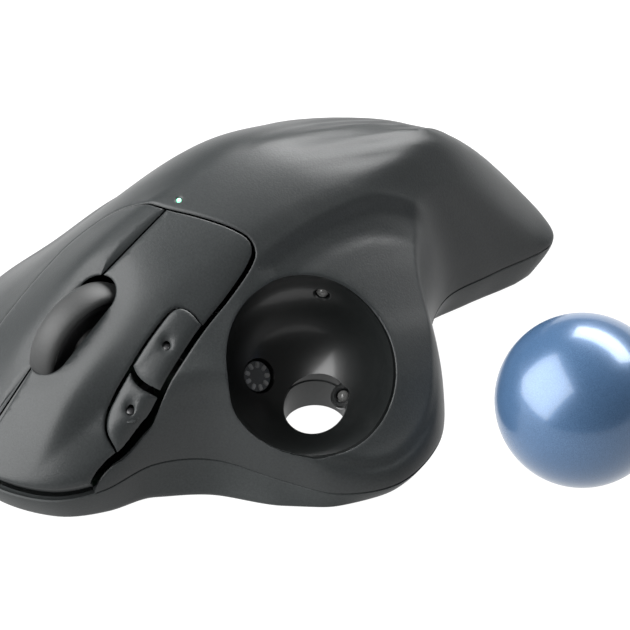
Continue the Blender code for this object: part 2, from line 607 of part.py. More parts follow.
def make_screw(name, spot, top, bottom):
    """A screw, its boss in the base and its post under the cover."""
    around = [(spot[0] + POST_R * math.cos(k), spot[1] + POST_R * math.sin(k)) for k in range(7)]
    ceiling = min(skin_height(*p) for p in around) - 0.7
    boss = cutter_rod(3.6, (*spot, 1.4), (*spot, 5), "cut_boss_" + name, 24)
    post = cutter_rod(POST_R, (*spot, 5.4), (*spot, ceiling), "cut_post_" + name, 20)
    boolean(bottom, boss, "UNION")
    boolean(bottom, cutter_rod(2.5, (*spot, -1), (*spot, 3.4), "cut_head_" + name, 20))
    boolean(bottom, cutter_rod(1.4, (*spot, 0), (*spot, 9), "cut_shank_" + name, 16))
    boolean(top, post, "UNION")
    boolean(top, cutter_rod(1.35, (*spot, 0), (*spot, 12), "cut_post_bore_" + name, 16))
    screw = rod_mesh(2.1, 2.1, (*spot, 1.5), (*spot, 3.05), name, 20)
    body = place(screw, name, "steel", origin=(*spot, 1.5))
    shank = rod_mesh(1.0, 0.7, (*spot, 2.6), (*spot, 11), "cut_thread_" + name, 12)
    boolean(body, tool(shank, "cut_thread_" + name), "UNION")


def centre_on_floor():
    """Moves the whole assembly so that the origin is under the middle of its box."""
    bpy.context.view_layer.update()
    graph = bpy.context.evaluated_depsgraph_get()
    points = []
    for obj in parts.objects:
        if obj.type == "MESH":
            points += [obj.matrix_world @ v.co for v in obj.evaluated_get(graph).data.vertices]
    xs, ys, zs = zip(*points)
    root.location = (-(min(xs) + max(xs)) / 2, -(min(ys) + max(ys)) / 2, -min(zs))
    bpy.context.view_layer.update()


root = None
parts = None
cutters = None


def main():
    global root, parts, cutters
    for o in list(bpy.data.objects):
        bpy.data.objects.remove(o)
    parts = collection("trackball_mouse")
    cutters = collection("cutters")
    root = bpy.data.objects.new("mouse_frame", None)
    parts.objects.link(root)
    top, bottom = make_shells()
    plates = make_keys()
    make_cup()
    make_wheel()
    make_inside(plates)
    make_underside(top, bottom)
    centre_on_floor()


main()
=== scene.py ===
"""Looks of the thumb trackball mouse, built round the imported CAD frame.

Shapes are worked out in the part's own millimetres (X right, Y forward, Z up, origin under the middle
of the mouse) and moved into the frame by SHIFT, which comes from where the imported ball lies.
"""

import json
import math

import bmesh
import bpy
import numpy as np
from mathutils import Matrix, Vector
from mathutils.geometry import delaunay_2d_cdt
from mathutils.kdtree import KDTree


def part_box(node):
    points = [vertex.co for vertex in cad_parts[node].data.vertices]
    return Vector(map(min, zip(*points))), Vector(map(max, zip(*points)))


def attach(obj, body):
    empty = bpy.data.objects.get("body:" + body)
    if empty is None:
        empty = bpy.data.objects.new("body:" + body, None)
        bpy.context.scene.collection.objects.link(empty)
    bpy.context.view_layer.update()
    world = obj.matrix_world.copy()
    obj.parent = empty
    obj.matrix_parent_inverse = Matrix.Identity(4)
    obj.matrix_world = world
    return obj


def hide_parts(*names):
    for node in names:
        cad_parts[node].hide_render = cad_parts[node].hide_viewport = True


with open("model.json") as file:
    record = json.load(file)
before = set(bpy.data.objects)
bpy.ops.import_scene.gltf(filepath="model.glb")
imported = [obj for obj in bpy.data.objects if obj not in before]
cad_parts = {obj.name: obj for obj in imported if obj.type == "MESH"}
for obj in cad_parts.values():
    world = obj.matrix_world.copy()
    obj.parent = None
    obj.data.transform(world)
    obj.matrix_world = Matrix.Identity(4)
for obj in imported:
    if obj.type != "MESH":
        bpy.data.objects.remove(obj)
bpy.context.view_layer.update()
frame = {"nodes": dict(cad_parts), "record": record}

# ---- driving dimensions, mm, as in the part ----
MM = 0.001
BALL_R = 17.0
BALL_REST = Vector((-69.6, -18.2, BALL_R))
SOCKET_R = 17.45
SOCKET_WALL = 1.7
LIP_R = 17.45             # opening in the cover, just wider than the ball
MOUTH_AXIS = Vector((-0.757, 0.244, 0.606)).normalized()
SOCKET_C = Vector((-25.5, 13.0, 22.3))
HOLE_C = (-24.0, 7.9)
HOLE_R = 6.4
BASE_Z = 0.8
TUCK_AT = (-180, 60, 80, 96, 106, 114, 126, 142, 152, 160, 172, 180)
TUCK_IS = (4, 4, 3, 2.5, 1.5, -1, -2.5, -2.5, -0.5, 1.2, 2.5, 4)    # how far the base draws in under the parting line
CREASE = 1.5
KEY_LIFT = 1.3
GAP = 0.42
THUMB_GAP = 0.85
SKIN = 1.5               # thickness of the visible shells
EDGE_R = 0.5             # rounding where a shell ends at a gap
WHEEL_C = Vector((9.3, 37.6, 25.2))
WHEEL_R = 12.5
WHEEL_W = 6.2
WHEEL_YAW = math.radians(-8.0)
SLOT_C = Vector((9.7, 40.3))
SLOT_HALF = 5.6
SLOT_R = 4.1
CENTRE = np.array((4.0, 0.0))

OUTLINE = (
    (45.6, 6, 8), (46, 23, 9), (43, 41.4, 9), (34.8, 56.5, 8), (24, 63.7, 7.5), (10, 66, 7.5), (-2, 62, 7.5),
    (-9, 54, 8.5), (-13, 43, 10), (-20, 33.5, 8.5), (-32, 27.5, 6), (-42, 22, 4.5), (-49, 12, 4.5),
    (-48, -1, 5), (-41, -11, 6), (-30, -20, 7), (-25, -31, 8), (-27.5, -43, 8), (-31, -56.6, 8),
    (-25, -62, 8), (-12.8, -62.6, 8), (0, -63.1, 8), (15.7, -57.1, 8), (29.8, -45.6, 8), (39.9, -29.5, 8),
    (44.6, -11.5, 8),
)
EDGE_AT = (-180, -150, -140, -130, -122, -110, -100, -86, 45, 60, 75, 90, 140, 160, 180)
EDGE_IS = (0.07, 0.07, 0.1, 0.14, 0.3, 0.55, 0.78, 1, 1, 0.9, 0.4, 0.15, 0.1, 0.07, 0.07)
KEY_EDGE = (
    (27.9, 75), (27.9, 50), (27.5, 42), (26.8, 36), (26, 30), (25.1, 24.5), (22.6, 19.6), (19, 16.4), (13.8, 15),
    (8, 14.2), (1.4, 12), (-4.5, 9.8), (-8, 8.8), (-10.1, 9.3), (-11.1, 11.2), (-11.6, 16), (-11.9, 27),
    (-12, 40), (-11.2, 44.5), (-10.2, 48.6), (-8.6, 53), (-8.2, 58), (-8.2, 75),
)
SEAM = ((7.5, 14.4 - 4), (16, 75))
SIDE_KEYS = (
    (-5.3, 29.5), (-4.9, 34), (-4.6, 40.1), (-4.3, 44.5), (-4.6, 47.3), (-6.2, 49.4), (-9, 49.9), (-16, 49.9),
    (-16, 26.6), (-10.4, 26.2), (-8.3, 26.4), (-6.4, 27.4),
)
SIDE_SPLIT = 40.1
# crisp lines on the palm, each from front to rear
FLUTES = (
    ((-8, -8.2), (-13.5, -22), (-24, -48), (-29, -60)),
    ((-4.3, -9.5), (-10.1, -23), (-21.2, -50.8), (-25.1, -60.1)),
    ((-0.9, -9.3), (-7.9, -25.7), (-16.2, -47.1), (-18.3, -58)),
    ((2.6, -8.1), (-3.2, -28.9), (-13.4, -43.3), (-15.8, -54.2)),
    ((5.6, -8.7), (1.9, -27), (-8, -43), (-11, -54)),
    ((9, -8.7), (6.5, -27), (-2, -43), (-6, -54)),
)
# the crisp edge between the palm and the thumb scoop, from the keys to the rear
CREST = ((-11, 11.5), (-11.6, 8), (-13, -0.7), (-15, -10.3), (-16.7, -17.4), (-19.4, -23.1), (-21.5, -26.7),
         (-22.6, -31.4), (-24, -35.8))
CREST_DROP = 1.3
CREST_SIDES = (-1.3, -0.8, -0.4, 0.0, 0.3, 0.6, 0.95, 1.4, 1.9)
BEADS = {"bearing_rear": (8.1, -15.0, 2.9), "bearing_lower": (-1.46, -9.7, -14.3), "bearing_front": (11.65, 12.0, -5.1)}
LENS_WAY = Vector((12.8, -1.3, -11.8)).normalized()
BEAD_R = 1.25
BEAD_GAP = 0.06

ball_low, ball_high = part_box("trackball")
SHIFT = (ball_low + ball_high) / 2 / MM - BALL_REST


# ---- the shared surface, as in the part ----
def hermite(v, xs, ys):
    """Smooth curve through the points (xs, ys), read at v."""
    xs, ys = np.asarray(xs, float), np.asarray(ys, float)
    slope = np.gradient(ys, xs)
    v = np.clip(v, xs[0], xs[-1])
    i = np.clip(np.searchsorted(xs, v, side="right") - 1, 0, len(xs) - 2)
    h = xs[i + 1] - xs[i]
    t = (v - xs[i]) / h
    a = (2 * t**3 - 3 * t**2 + 1) * ys[i] + (t**3 - 2 * t**2 + t) * h * slope[i]
    return a + (-2 * t**3 + 3 * t**2) * ys[i + 1] + (t**3 - t**2) * h * slope[i + 1]


def through(points, steps, closed=False):
    """Catmull-Rom curve through the points."""
    pts = np.asarray(points, float)
    n = len(pts)
    if not closed:
        pts = np.vstack([2 * pts[0] - pts[1], pts, 2 * pts[-1] - pts[-2]])
    out = []
    for i in range(n if closed else n - 1):
        if closed:
            a, b, c, d = (pts[(i + k) % n] for k in (-1, 0, 1, 2))
        else:
            a, b, c, d = pts[i:i + 4]
        t = np.linspace(0, 1, steps, endpoint=False)[:, None]
        out.append(0.5 * (2 * b + (c - a) * t + (2 * a - 5 * b + 4 * c - d) * t**2 + (3 * b - a - 3 * c + d) * t**3))
    if not closed:
        out.append(pts[-2:-1])
    return np.vstack(out)


def outline_tables():
    curve = through(OUTLINE, 24, closed=True)
    d = curve[:, :2] - CENTRE
    angle = np.arctan2(d[:, 1], d[:, 0])
    order = np.argsort(angle)
    return angle[order], np.hypot(d[:, 0], d[:, 1])[order], curve[order, 2]


ANGLES, RADII, PARTING = outline_tables()


def round_plan(angle, table):
    return np.interp(angle, ANGLES, table, period=2 * math.pi)


def soft_min(a, b, width):
    mix = np.clip(0.5 + 0.5 * (b - a) / width, 0, 1)
    return b * (1 - mix) + a * mix - width * mix * (1 - mix)


def top_height(x, y):
    crown = hermite(y, (-70, -45, -25, -8, 12, 30, 42, 52, 60, 68), (26.5, 40.1, 44.7, 47.8, 45.3, 39, 32, 24.5, 17.5, 10))
    ridge = hermite(y, (-70, -45, -20, 0, 30, 70), (-14, -8, 1, 6, 8, 10))
    right = hermite(y, (-70, -30, -18, 10, 27, 50, 70), (0.0183, 0.0158, 0.0223, 0.0243, 0.0166, 0.0122, 0.0109))
    flank = hermite(y, (-70, -40, 0, 30, 60), (0.0005, -0.0036, -0.0089, 0.0041, -0.0008))
    left = hermite(y, (-70, -30, -18, 0, 12, 27, 50, 70), (0.02, 0.024, 0.028, 0.025, 0.022, 0.014, 0.012, 0.012))
    reach = hermite(y, (-70, -41, -31, -19, 0, 12, 27, 50, 70), (30, 24, 23, 17, 17.5, 19, 21, 21, 22))
    off = x - ridge
    away = np.clip(-off, 0, None)
    bulge = hermite(y, (-56, -38, -20, -5, 10, 20), (0, 3.4, 3.8, 3.0, 2.2, 0))
    near = np.minimum(away, reach + 2 * bulge)
    palm = crown - flank * np.clip(off - 15, 0, None)**2
    palm = palm - np.where(off > 0, right * off**2, left * near**2 + 0.3 * (away - near))
    shoulder = np.clip(away / 17, 0, 1)
    palm = palm + bulge * shoulder**2 * (2 - shoulder)
    palm = palm - flute_depth(x, y)
    mouth = SOCKET_C + MOUTH_AXIS * 5.0
    down = -0.952 * (x - mouth.x) + 0.307 * (y - mouth.y)
    along = 0.307 * (x - mouth.x) + 0.952 * (y - mouth.y)
    slope = hermite(down, (-45, -30, -22, -16, -10, -5, 0, 5, 10, 14, 18, 24),
                    (70, 54, 43.8, 37.2, 32, 28, 24.2, 19.5, 14.2, 10.5, 7.5, 5))
    fade = np.clip((down + 26) / 12, 0, 1)
    forward = np.clip(soft_min(along - 14, 27, 8), 0, None)
    scoop = slope - 0.008 * np.clip(-6 - along, 0, None)**2 - 0.022 * fade * forward**2
    crease = CREASE + 5 * np.clip((y - 12) / 20, 0, 1) + 2 * np.clip((-22 - y) / 25, 0, 1)
    return soft_min(palm, scoop, crease) - crest_step(x, y)


def crest_samples(step=0.3):
    """Points along the crest, their tangents and how far along they lie."""
    curve = through(CREST, 20)
    along = np.concatenate([[0], np.cumsum(np.hypot(*np.diff(curve, axis=0).T))])
    at = np.arange(0, along[-1], step)
    points = np.stack([np.interp(at, along, curve[:, k]) for k in (0, 1)], -1)
    tangent = np.gradient(points, axis=0)
    return points, tangent / np.hypot(*tangent.T)[:, None], at


CREST_POINTS, CREST_WAYS, CREST_AT = crest_samples()


def beside_crest(x, y):
    """Distance from the crest, positive on the scoop's side, and how far along the crest that is."""
    x, y = np.broadcast_arrays(np.asarray(x, float), np.asarray(y, float))
    flat = np.stack([x.ravel(), y.ravel()], -1)
    side, along = np.empty(len(flat)), np.empty(len(flat))
    for a in range(0, len(flat), 4000):
        d = flat[a:a + 4000, None] - CREST_POINTS
        near = (d**2).sum(-1).argmin(1)
        d = d[np.arange(len(d)), near]
        way = CREST_WAYS[near]
        turn = way[:, 1] * d[:, 0] - way[:, 0] * d[:, 1]
        side[a:a + 4000] = np.sign(turn) * np.hypot(*d.T)
        along[a:a + 4000] = CREST_AT[near]
    return side.reshape(x.shape), along.reshape(x.shape)


def crest_step(x, y):
    """The scoop starts a step below the palm, under a slightly raised edge."""
    side, along = beside_crest(x, y)
    below = np.clip(side, 0, None)
    step = CREST_DROP * (1 - np.exp(-(below / 0.9)**2)) * np.exp(-(below / 7)**2)
    raised = 0.12 * np.exp(-((side + 0.35) / 0.5)**2)
    fade = np.clip(along / 4, 0, 1) * np.clip((CREST_AT[-1] - along) / 10, 0, 1)
    return (step - raised) * fade


FLUTE_CURVES = [through(line, 12) for line in FLUTES]
FLUTE_DEPTH = 0.42


def flute_depth(x, y):
    """Shallow hollows between the crisp lines of the palm, fading in behind the keys."""
    x, y = np.asarray(x, float), np.asarray(y, float)
    lines = []
    for curve in FLUTE_CURVES:
        lines.append(np.interp(-y, -curve[:, 1], curve[:, 0]))
    depth = np.zeros(np.broadcast(x, y).shape)
    for a, b in zip(lines, lines[1:]):
        f = (x - a) / (b - a)
        hollow = 4 * f * (1 - f)
        depth = np.where((f > 0) & (f < 1), hollow, depth)
    fade = np.clip((-y - 8) / 24, 0, 1) * np.clip((70 + y) / 10, 0, 1)
    return FLUTE_DEPTH * depth * fade * (1 + 0.4 * np.clip((-y - 25) / 25, 0, 1))


def polar(x, y):
    dx, dy = x - CENTRE[0], y - CENTRE[1]
    angle = np.arctan2(dy, dx)
    return angle, np.hypot(dx, dy) / round_plan(angle, RADII)


RIM_AT = (-180, -175, -150, 100, 112, 125, 180)
RIM_IS = (0.7, 0.5, 0.0, 0.0, 0.7, 1.0, 0.7)


def edge_share(degrees):
    """Share of the radius that the rounded edge takes, without kinks between the table's steps."""
    return sum(np.interp(degrees + d, EDGE_AT, EDGE_IS, period=360) for d in (-10, -5, 0, 5, 10)) / 5


def skin_z(x, y, lift=0.0, rim=False):
    """Height of the outer surface. The thumb side ends in a rounded rim below a soft groove."""
    angle, r = polar(x, y)
    base = round_plan(angle, PARTING) + lift
    degrees = np.degrees(angle)
    edge = np.clip((1 - r) / edge_share(degrees), 0, 1)
    rise = np.clip(1 - (1 - edge)**2.1, 0, 1)**0.55
    z = base - rise * soft_min(base - top_height(x, y), -2.5, 5)
    if rim:
        away = (1 - r) * round_plan(angle, RADII)
        groove = 0.6 * np.exp(-((away - 2.1) / 0.65)**2)
        z = z - groove * np.interp(degrees, RIM_AT, RIM_IS)
    return z


# ---- building meshes ----
def row(points):
    return (np.asarray(points, float) + np.array(SHIFT)) * MM


def finish_mesh(name, mesh, material, body, replaces=(), sharp=38.0):
    """Turns a mesh in the row frame into a piece that rides a body."""
    mesh.shade_smooth()
    mesh.set_sharp_from_angle(angle=math.radians(sharp))
    obj = bpy.data.objects.new(name, mesh)
    bpy.context.scene.collection.objects.link(obj)
    mesh.materials.clear()
    mesh.materials.append(material)
    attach(obj, body)
    if replaces:
        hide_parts(*replaces)
    return obj


def to_mesh(bm, name, mend=True):
    if mend:
        bmesh.ops.recalc_face_normals(bm, faces=bm.faces)
    mesh = bpy.data.meshes.new(name)
    bm.to_mesh(mesh)
    bm.free()
    return mesh


def soup(verts, faces, name):
    mesh = bpy.data.meshes.new(name)
    mesh.from_pydata([tuple(v) for v in verts], [], [tuple(f) for f in faces])
    mesh.update()
    return mesh


def applied(mesh, *steps):
    """The mesh with modifiers made by steps(obj) applied to it."""
    obj = bpy.data.objects.new("work", mesh)
    bpy.context.scene.collection.objects.link(obj)
    for step in steps:
        step(obj)
    bpy.context.view_layer.update()
    graph = bpy.context.evaluated_depsgraph_get()
    result = bpy.data.meshes.new_from_object(obj.evaluated_get(graph))
    bpy.data.objects.remove(obj)
    return result


def thicken(amount):
    def step(obj):
        m = obj.modifiers.new("thick", "SOLIDIFY")
        m.thickness = amount * MM
        m.offset = -1
        m.use_even_offset = False
        m.use_rim = True
    return step


def cut(cutters):
    """Boolean differences with meshes that are removed afterwards."""
    def step(obj):
        for k, mesh in enumerate(cutters):
            tool = bpy.data.objects.new(f"tool_{k}", mesh)
            bpy.context.scene.collection.objects.link(tool)
            m = obj.modifiers.new("cut", "BOOLEAN")
            m.operation = "DIFFERENCE"
            m.object = tool
            m.solver = "MANIFOLD"
            tools.append(tool)
    tools = []
    step.tools = tools
    return step


def cut_mesh(mesh, cutters):
    step = cut(cutters)
    result = applied(mesh, step)
    for tool in step.tools:
        bpy.data.objects.remove(tool)
    return result


# ---- plan regions ----
def warp(p):
    """Stretches the plan near the outline, where the skin is steep, so that an even grid suits it."""
    d = np.asarray(p, float) - CENTRE
    angle, r = polar(*np.asarray(p, float).T)
    g = np.where(r < 1, 1 - np.sqrt(np.clip(1 - r, 0, 1)), r)
    return d * (g / np.maximum(r, 1e-9))[:, None]


def unwarp(q):
    q = np.asarray(q, float)
    angle = np.arctan2(q[:, 1], q[:, 0])
    g = np.hypot(q[:, 0], q[:, 1]) / round_plan(angle, RADII)
    r = np.where(g < 1, 1 - (1 - g)**2, g)
    return CENTRE + q * (r / np.maximum(g, 1e-9))[:, None]


def inside(points, loop):
    """Even-odd test of points against a closed loop."""
    loop = np.asarray(loop, float)
    x0, y0 = loop[:, 0], loop[:, 1]
    x1, y1 = np.roll(x0, -1), np.roll(y0, -1)
    out = np.zeros(len(points), bool)
    for a in range(0, len(points), 4000):
        px, py = points[a:a + 4000, 0:1], points[a:a + 4000, 1:2]
        straddles = (y0 > py) != (y1 > py)
        with np.errstate(divide="ignore", invalid="ignore"):
            cross = px < (x1 - x0) * (py - y0) / (y1 - y0) + x0
        out[a:a + 4000] = (straddles & cross).sum(1) % 2 == 1
    return out


def resample(curve, step, closed):
    pts = np.asarray(curve, float)
    if closed:
        pts = np.vstack([pts, pts[:1]])
    along = np.concatenate([[0], np.cumsum(np.hypot(*np.diff(pts, axis=0).T))])
    n = max(int(along[-1] / step), 4)
    t = np.linspace(0, along[-1], n + 1)
    out = np.stack([np.interp(t, along, pts[:, k]) for k in (0, 1)], -1)
    return out[:-1] if closed else out


def triangulate(chains, extra):
    """Triangles of the plane with the closed or open chains as edges. Coordinates are in the stretched plan."""
    verts, edges = [], []
    for chain, closed in chains:
        n = len(verts)
        verts += [Vector(p) for p in chain]
        count = len(chain)
        edges += [(n + i, n + (i + 1) % count) for i in range(count if closed else count - 1)]
    verts += [Vector(p) for p in extra]
    out = delaunay_2d_cdt(verts, edges, [], 0, 1e-5)
    points = np.array([tuple(v) for v in out[0]])
    faces = np.array([f for f in out[2] if len(f) == 3])
    area = np.cross(points[faces[:, 1]] - points[faces[:, 0]], points[faces[:, 2]] - points[faces[:, 0]])
    faces[area < 0] = faces[area < 0][:, ::-1]
    return points, faces


def border_loops(points, faces):
    """Loops of edges that have one triangle, with the region on their left."""
    directed = set()
    for a, b, c in faces:
        directed.update(((a, b), (b, c), (c, a)))
    after = {}
    for a, b in directed:
        if (b, a) not in directed:
            after.setdefault(a, []).append(b)
    loops = []
    while after:
        start = next(iter(after))
        loop, here = [], start
        while here in after:
            loop.append(here)
            nexts = after[here]
            there = nexts.pop()
            if not nexts:
                del after[here]
            here = there
            if here == start:
                break
        if len(loop) > 8:
            loops.append(points[loop])
    return loops


RING_AT = (0.07, 0.17, 0.31, 0.5)
MOUSE_LOOP = np.stack([CENTRE[0] + RADII * np.cos(ANGLES), CENTRE[1] + RADII * np.sin(ANGLES)], -1)


def thinned(loop, least):
    """Drops points that crowd their neighbour, but keeps corners."""
    kept = []
    n = len(loop)
    for i in range(n):
        a, b, c = loop[i - 1], loop[i], loop[(i + 1) % n]
        u, v = b - a, c - b
        turn = abs(math.atan2(u[0] * v[1] - u[1] * v[0], u @ v)) if (u @ u) * (v @ v) > 0 else 0
        if kept and np.hypot(*(b - kept[-1])) < least and turn < 0.5:
            continue
        kept.append(b)
    return np.array(kept)


def region(curves, keep, step=0.8, grid_clear=0.72):
    """Meshes the part of the plan where keep(points) holds. Returns plan points, faces and, for each
    point, its distance from the nearest gap edge."""
    chains = [(warp(MOUSE_LOOP), True)] + [(warp(c), closed) for c, closed in curves]
    points, faces = triangulate(chains, [])
    middle = unwarp(points[faces].mean(1))
    points, faces = points, faces[keep(middle) & (polar(*middle.T)[1] < 1)]
    loops = [unwarp(thinned(loop, 0.12)) for loop in border_loops(points, faces)]
    gap_points, gap_near = [], []
    rings = []
    for loop in loops:
        fine = resample(loop, 0.06, True)
        on_gap = polar(*fine.T)[1] < 0.9985
        gap_near.append(fine[on_gap])
        ahead, behind = np.roll(loop, -1, 0), np.roll(loop, 1, 0)
        tangent = ahead - behind
        tangent /= np.maximum(np.hypot(*tangent.T), 1e-9)[:, None]
        normal = np.stack([-tangent[:, 1], tangent[:, 0]], -1)
        rims = polar(*loop.T)[1] < 0.9985
        for d in RING_AT:
            rings.append((loop + normal * d)[rims])
    near = np.vstack(gap_near)
    tree = KDTree(len(near))
    for i, p in enumerate(near):
        tree.insert((*p, 0), i)
    tree.balance()

    def gap_distance(pts):
        return np.array([tree.find((*p, 0))[2] for p in pts])

    extra = []
    for k, ring in enumerate(rings):
        if len(ring):
            d = RING_AT[k % len(RING_AT)]
            extra.append(ring[gap_distance(ring) > d * 0.93])
    reach = RADII.max()
    xs = np.arange(-reach, reach, step)
    gx, gy = np.meshgrid(xs, xs * 1.0)
    gx = gx + np.where(np.arange(len(xs)) % 2, step / 2, 0)[:, None]
    grid = np.stack([gx.ravel(), gy.ravel()], -1)
    angle = np.arctan2(grid[:, 1], grid[:, 0])
    grid = grid[np.hypot(*grid.T) < round_plan(angle, RADII) - 0.45 * step]
    loops_w = [warp(loop) for loop in loops]

    def within(pts):
        count = np.zeros(len(pts), int)
        for loop in loops_w:
            count += inside(pts, loop)
        return count % 2 == 1

    grid = grid[within(grid)]
    plan = unwarp(grid)
    grid = grid[gap_distance(plan) > grid_clear]
    grid = grid[np.abs(beside_crest(*unwarp(grid).T)[0]) > 2.2]
    across = np.stack([CREST_WAYS[:, 1], -CREST_WAYS[:, 0]], -1)
    for d in CREST_SIDES:
        ring = CREST_POINTS + across * d
        extra.append(ring[gap_distance(ring) > grid_clear])
    extra = warp(np.vstack(extra))
    extra = extra[within(extra)]
    points, faces = triangulate([(loop, True) for loop in loops_w], np.vstack([extra, grid]))
    faces = faces[within(points[faces].mean(1))]
    used = np.unique(faces)
    index = np.zeros(len(points), int)
    index[used] = np.arange(len(used))
    plan = unwarp(points[used])
    return plan, index[faces], gap_distance(plan)


def rounding(distance, radius=EDGE_R):
    """How far a rounded edge has dropped at that distance from it."""
    inwards = np.clip(radius - distance, 0, radius)
    return radius - np.sqrt(radius**2 - inwards**2)


def borders(faces):
    """Directed border edges."""
    directed = set()
    for a, b, c in faces:
        directed.update(((a, b), (b, c), (c, a)))
    return [(a, b) for a, b in directed if (b, a) not in directed]


def plate(name, curves, keep, material, body, replaces, lift=0.0, rim=False, lip=None, shape=None, radius=EDGE_R,
          step=0.8, skin=SKIN, bore=None):
    """A shell over a region of the plan. lip is the (inwards, down) move of its outer lower edge."""
    plan, faces, gap = region(curves, keep, step)
    x, y = plan.T
    z = skin_z(x, y, lift + (lip[1] if lip else 0.0), rim)
    if shape:
        z = z + shape(x, y, gap)
    z = z - rounding(gap, radius)
    verts = np.stack([x, y, z], -1)
    faces = [tuple(f) for f in faces]
    if lip:
        angle, r = polar(x, y)
        low = {}
        verts = list(verts)
        for a, b in borders(faces):
            if r[a] > 0.9985 and r[b] > 0.9985:
                for v in (a, b):
                    if v not in low:
                        way = np.array((math.cos(angle[v]), math.sin(angle[v])))
                        low[v] = len(verts)
                        verts.append(np.array((*(plan[v] - way * lip[0]), z[v] - lip[1])))
                faces.append((a, low[a], low[b], b))
    mesh = soup(row(np.array(verts)), faces, name)
    mesh = applied(mesh, thicken(skin))
    if bore:
        mesh = cut_mesh(mesh, [bore()])
    return finish_mesh(name, mesh, material, body, replaces)


# ---- outlines ----
def key_edge(extra=0.0):
    """Edge of the key area; extra moves it into the keys, more along the thumb side."""
    curve = resample(through(KEY_EDGE, 14), 0.45, False)
    if not extra:
        return curve
    tangent = np.gradient(curve, axis=0)
    tangent /= np.hypot(*tangent.T)[:, None]
    inward = np.stack([tangent[:, 1], -tangent[:, 0]], -1)
    thumb = np.clip((-8.5 - curve[:, 0]) / 2.5, 0, 1)
    width = extra + (THUMB_GAP - GAP) * thumb
    return curve + inward * width[:, None]


def closed_over(curve):
    """The key area as a closed loop: its edge runs from the right, round the rear, to the left."""
    return np.vstack([curve, [(curve[-1][0], 90), (curve[0][0], 90)]])


def seam_line(side):
    a, b = np.array(SEAM[0]), np.array(SEAM[1])
    way = (b - a) / np.hypot(*(b - a))
    return np.array([a, b]) + side * GAP / 2 * np.array((way[1], -way[0]))


def seam_side(points):
    """Distance to the right of the seam."""
    a, b = np.array(SEAM[0]), np.array(SEAM[1])
    way = (b - a) / np.hypot(*(b - a))
    d = points - a
    return d[:, 0] * way[1] - d[:, 1] * way[0]


def slot_loop(extra=0.0):
    along = np.array((math.sin(-WHEEL_YAW), math.cos(WHEEL_YAW)))
    across = np.array((along[1], -along[0]))
    out = []
    for way in (1, -1):
        for k in range(28):
            a = math.pi * k / 28
            arm = across * math.cos(a) + along * math.sin(a)
            out.append(np.array(SLOT_C) + way * along * SLOT_HALF + way * arm * (SLOT_R + extra))
    return np.array(out)


def circle(centre, radius, count=64):
    a = np.linspace(0, 2 * math.pi, count, endpoint=False)
    return np.stack([centre[0] + radius * np.cos(a), centre[1] + radius * np.sin(a)], -1)


def axis_frame(axis):
    u = Vector((-axis.y, axis.x, 0)).normalized()
    return u, axis.cross(u)


def mouth_loop(radius, count=160):
    """Where a round bore along the mouth's axis leaves the skin, in the plan."""
    u, v = axis_frame(MOUTH_AXIS)
    a = np.linspace(0, 2 * math.pi, count, endpoint=False)
    start = np.array(SOCKET_C) + radius * (np.cos(a)[:, None] * np.array(u) + np.sin(a)[:, None] * np.array(v))
    low, high = np.full(count, -12.0), np.full(count, 22.0)
    axis = np.array(MOUTH_AXIS)
    for _ in range(30):
        middle = (low + high) / 2
        p = start + middle[:, None] * axis
        under = p[:, 2] < skin_z(p[:, 0], p[:, 1])
        low = np.where(under, middle, low)
        high = np.where(under, high, middle)
    return start + low[:, None] * axis


def soft_outline(points, step=0.4):
    return resample(through(points, 10, closed=True), step, True)


# ---- materials ----
def nodes_of(name):
    m = bpy.data.materials.new(name)
    m.use_nodes = True
    tree = m.node_tree
    return m, tree.nodes, tree.links, tree.nodes["Principled BSDF"]


def noise(nodes, links, scale, detail=2.0, rough=0.5):
    place = nodes.new("ShaderNodeTexCoord")
    n = nodes.new("ShaderNodeTexNoise")
    n.inputs["Scale"].default_value = scale
    n.inputs["Detail"].default_value = detail
    n.inputs["Roughness"].default_value = rough
    links.new(place.outputs["Object"], n.inputs["Vector"])
    return n


def ramp(nodes, links, source, stops):
    r = nodes.new("ShaderNodeValToRGB")
    while len(r.color_ramp.elements) < len(stops):
        r.color_ramp.elements.new(0.5)
    for e, (at, colour) in zip(r.color_ramp.elements, stops):
        e.position = at
        e.color = (*colour, 1)
    links.new(source, r.inputs["Fac"])
    return r.outputs["Color"]


def span(nodes, links, source, low, high, at=(0.3, 0.7)):
    """Maps a noise value onto a range."""
    m = nodes.new("ShaderNodeMapRange")
    m.inputs["From Min"].default_value = at[0]
    m.inputs["From Max"].default_value = at[1]
    m.inputs["To Min"].default_value = low
    m.inputs["To Max"].default_value = high
    links.new(source, m.inputs["Value"])
    return m.outputs["Result"]


def bump(nodes, links, source, shader, strength, depth):
    b = nodes.new("ShaderNodeBump")
    b.inputs["Strength"].default_value = strength
    b.inputs["Distance"].default_value = depth
    links.new(source, b.inputs["Height"])
    links.new(b.outputs["Normal"], shader.inputs["Normal"])


def grained(name, dark, light, rough, grain=2600.0, strength=0.25, coat=0.0, metal=0.0, shine=0.5):
    """Moulded plastic: a fine spark-eroded grain, slight mottling, and roughness that varies with it."""
    m, nodes, links, shader = nodes_of(name)
    fine = noise(nodes, links, grain, 3.0, 0.6)
    broad = noise(nodes, links, 60.0, 2.0)
    links.new(ramp(nodes, links, fine.outputs["Fac"], ((0.3, dark), (0.75, light))), shader.inputs["Base Color"])
    links.new(span(nodes, links, broad.outputs["Fac"], rough[0], rough[1]), shader.inputs["Roughness"])
    bump(nodes, links, fine.outputs["Fac"], shader, strength, 0.00012)
    shader.inputs["Coat Weight"].default_value = coat
    shader.inputs["Coat Roughness"].default_value = 0.12
    shader.inputs["Metallic"].default_value = metal
    shader.inputs["Specular IOR Level"].default_value = shine
    return m


